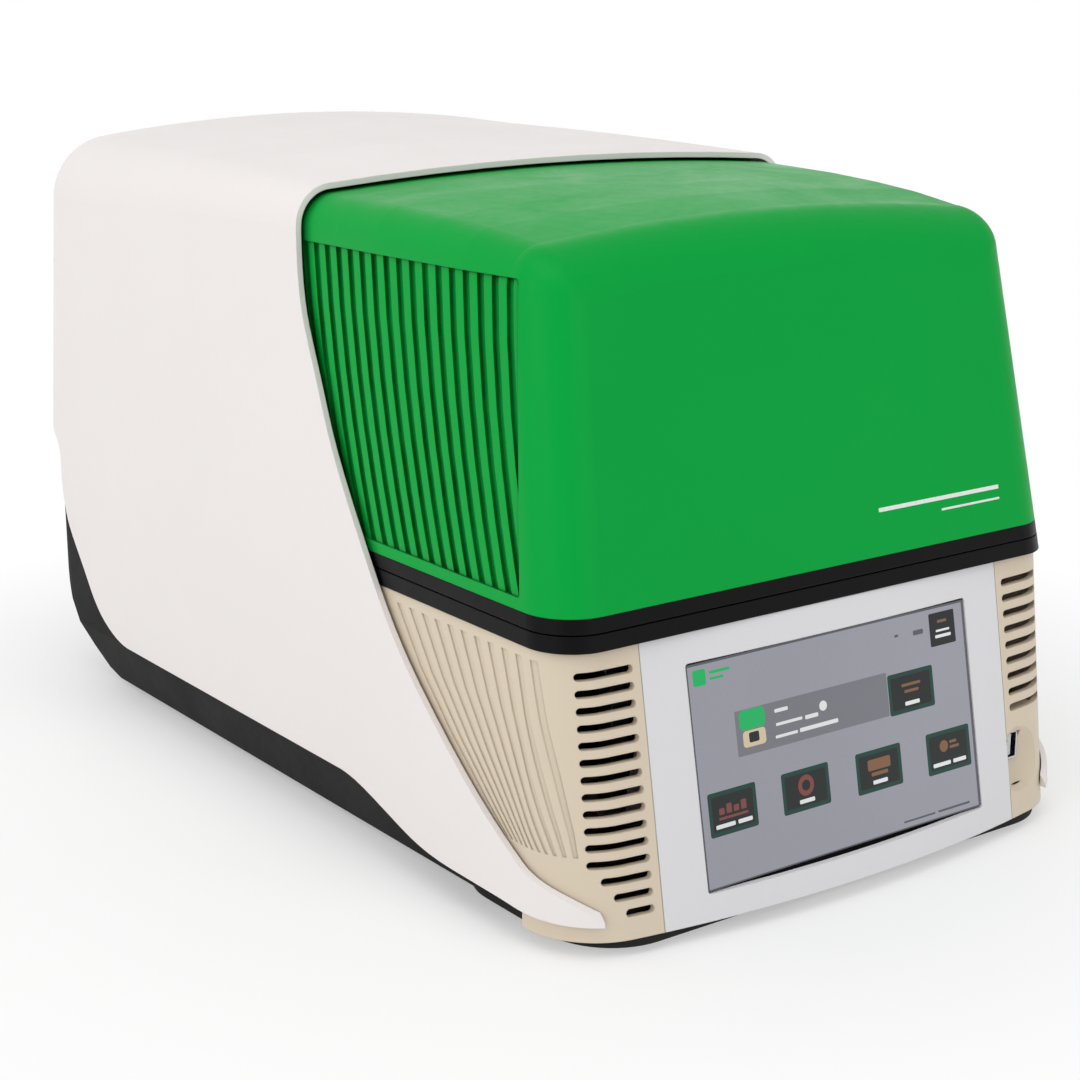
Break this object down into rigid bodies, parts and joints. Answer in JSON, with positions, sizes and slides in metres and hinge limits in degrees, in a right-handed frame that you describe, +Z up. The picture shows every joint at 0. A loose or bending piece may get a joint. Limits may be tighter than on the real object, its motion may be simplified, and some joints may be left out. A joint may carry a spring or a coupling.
{
  "type": "thermal cycler",
  "caption": "Benchtop real-time thermal cycler: sliding powered lid, heated plate, scanning optics, well block, sloped touchscreen, vented cowls and wrap-round rear shell.",
  "frame": {"origin": "on the bench plane under the middle of the machine's overall box", "axes": "+X to the machine's left-to-right as seen from the front, +Y towards the back, +Z up; the touchscreen faces -Y"},
  "size_m": [0.332, 0.5632, 0.3377],
  "materials": {
    "shell_white": "fine moulded texture",
    "cowl_beige": "fine moulded texture",
    "bezel_white": "satin moulded",
    "lid_green": "satin gloss moulded",
    "trim_black": "satin moulded",
    "base_grey": "fine moulded texture",
    "foot_rubber": "matte",
    "screen_glass": "clear coated display",
    "module_dark": "moulded",
    "steel_sheet": "zinc-plated",
    "steel_bright": "ground",
    "alu": "machined",
    "alu_black": "black anodised",
    "ceramic_white": "ceramic",
    "board_green": "solder mask",
    "fan_black": "moulded",
    "seal_grey": "matte",
    "belt_black": "matte",
    "cable_grey": "flexible",
    "lens_glass": "polished",
    "brass_gear": "machined",
    "duct_plastic": "moulded"
  },
  "bodies": {
    "machine": {"air_duct": "duct_plastic", "base_tray": "base_grey", "block_seal": "seal_grey", "chassis_frame": "steel_sheet", "data_ports": "steel_bright", "deck_plate": "trim_black", "display_cable": "cable_grey", "display_module": "module_dark", "exhaust_fan_frames": "fan_black", "fan_guards": "steel_bright", "front_bezel": "bezel_white", "front_usb_port": "steel_bright", "heat_sink": "alu", "left_cowl": "cowl_beige", "lid_motor": "alu_black", "lid_rails": "steel_bright", "main_board": "board_green", "peltier_modules": "ceramic_white", "power_inlet": "module_dark", "power_supply": "steel_sheet", "power_switch_frame": "module_dark", "rear_panel": "base_grey", "rear_screws": "steel_bright", "rear_shell": "shell_white", "right_cowl": "cowl_beige", "rubber_feet": "foot_rubber", "sample_block": "alu", "sink_fan_frame": "fan_black", "touchscreen_glass": "screen_glass"},
    "lid": {"lid_cover": "lid_green", "lid_skirt": "trim_black", "lid_frame": "steel_sheet", "lid_carriages": "steel_bright", "lid_rack": "steel_bright", "heater_guide_posts": "steel_bright", "press_belt": "belt_black", "press_motor": "alu_black", "gantry_rods": "steel_bright", "gantry_belt": "belt_black", "gantry_motor": "alu_black", "lid_control_board": "board_green"},
    "heater": {"heater_plate": "alu", "heater_frame": "module_dark", "heater_springs": "steel_bright"},
    "press_screw_l": {"press_screw_left": "steel_bright"},
    "press_screw_r": {"press_screw_right": "steel_bright"},
    "gantry": {"gantry_carriage": "alu_black", "shuttle_motor": "alu_black", "shuttle_belt": "belt_black"},
    "shuttle": {"optics_shuttle": "alu_black", "shuttle_lenses": "lens_glass"},
    "gantry_pulley_drive": {"gantry_drive_pulley": "alu"},
    "gantry_pulley_idle": {"gantry_idler_pulley": "alu"},
    "shuttle_pulley_drive": {"shuttle_drive_pulley": "alu"},
    "shuttle_pulley_idle": {"shuttle_idler_pulley": "alu"},
    "pinion": {"lid_pinion": "brass_gear"},
    "sink_fan": {"sink_fan_rotor": "fan_black"},
    "fan_left": {"exhaust_rotor_left": "fan_black"},
    "fan_right": {"exhaust_rotor_right": "fan_black"},
    "power_rocker": {"power_switch_rocker": "module_dark"}
  },
  "joints": [
    {"name": "lid_slide", "type": "slide", "parent": "machine", "child": "lid", "axis": [0, 1, 0], "range_m": [0, 0.172]},
    {"name": "heater_press", "type": "slide", "parent": "lid", "child": "heater", "axis": [0, 0, 1], "range_m": [-0.0045, 0], "deforming": ["heater_springs"]},
    {"name": "press_screw_left_spin", "type": "hinge", "parent": "lid", "child": "press_screw_l", "pos_m": [-0.104, -0.13, 0.19], "axis": [0, 0, 1], "continuous": true},
    {"name": "press_screw_right_spin", "type": "hinge", "parent": "lid", "child": "press_screw_r", "pos_m": [0.104, -0.13, 0.19], "axis": [0, 0, 1], "continuous": true},
    {"name": "gantry_travel", "type": "slide", "parent": "lid", "child": "gantry", "axis": [0, 1, 0], "range_m": [-0.03, 0.03]},
    {"name": "shuttle_travel", "type": "slide", "parent": "gantry", "child": "shuttle", "axis": [1, 0, 0], "range_m": [-0.036, 0.036]},
    {"name": "gantry_drive_spin", "type": "hinge", "parent": "lid", "child": "gantry_pulley_drive", "pos_m": [0.091, -0.036, 0.192], "axis": [1, 0, 0], "continuous": true},
    {"name": "gantry_idler_spin", "type": "hinge", "parent": "lid", "child": "gantry_pulley_idle", "pos_m": [0.091, -0.206, 0.192], "axis": [1, 0, 0], "continuous": true},
    {"name": "shuttle_drive_spin", "type": "hinge", "parent": "gantry", "child": "shuttle_pulley_drive", "pos_m": [-0.058, -0.106, 0.192], "axis": [0, 1, 0], "continuous": true},
    {"name": "shuttle_idler_spin", "type": "hinge", "parent": "gantry", "child": "shuttle_pulley_idle", "pos_m": [0.058, -0.106, 0.192], "axis": [0, 1, 0], "continuous": true},
    {"name": "pinion_spin", "type": "hinge", "parent": "machine", "child": "pinion", "pos_m": [0.1235, 0.005, 0.1353], "axis": [1, 0, 0], "continuous": true},
    {"name": "sink_fan_spin", "type": "hinge", "parent": "machine", "child": "sink_fan", "pos_m": [0, -0.0285, 0.068], "axis": [0, 1, 0], "continuous": true},
    {"name": "exhaust_left_spin", "type": "hinge", "parent": "machine", "child": "fan_left", "pos_m": [0.062, 0.2594, 0.21264], "axis": [0, 0.996, 0.0896], "continuous": true},
    {"name": "exhaust_right_spin", "type": "hinge", "parent": "machine", "child": "fan_right", "pos_m": [-0.062, 0.2594, 0.21264], "axis": [0, 0.996, 0.0896], "continuous": true},
    {"name": "power_rocker_tilt", "type": "hinge", "parent": "machine", "child": "power_rocker", "pos_m": [-0.066, 0.27674, 0.13153], "axis": [1, 0, 0], "range_deg": [-8, 8]}
  ],
  "couplings": [
    {"joint": "pinion_spin", "follows": "lid_slide", "rad_per_m": -66.667},
    {"joint": "press_screw_left_spin", "follows": "heater_press", "rad_per_m": 3141.6},
    {"joint": "press_screw_right_spin", "follows": "heater_press", "rad_per_m": 3141.6},
    {"joint": "gantry_drive_spin", "follows": "gantry_travel", "rad_per_m": 151.52},
    {"joint": "gantry_idler_spin", "follows": "gantry_travel", "rad_per_m": 151.52},
    {"joint": "shuttle_drive_spin", "follows": "shuttle_travel", "rad_per_m": -151.52},
    {"joint": "shuttle_idler_spin", "follows": "shuttle_travel", "rad_per_m": -151.52}
  ]
}
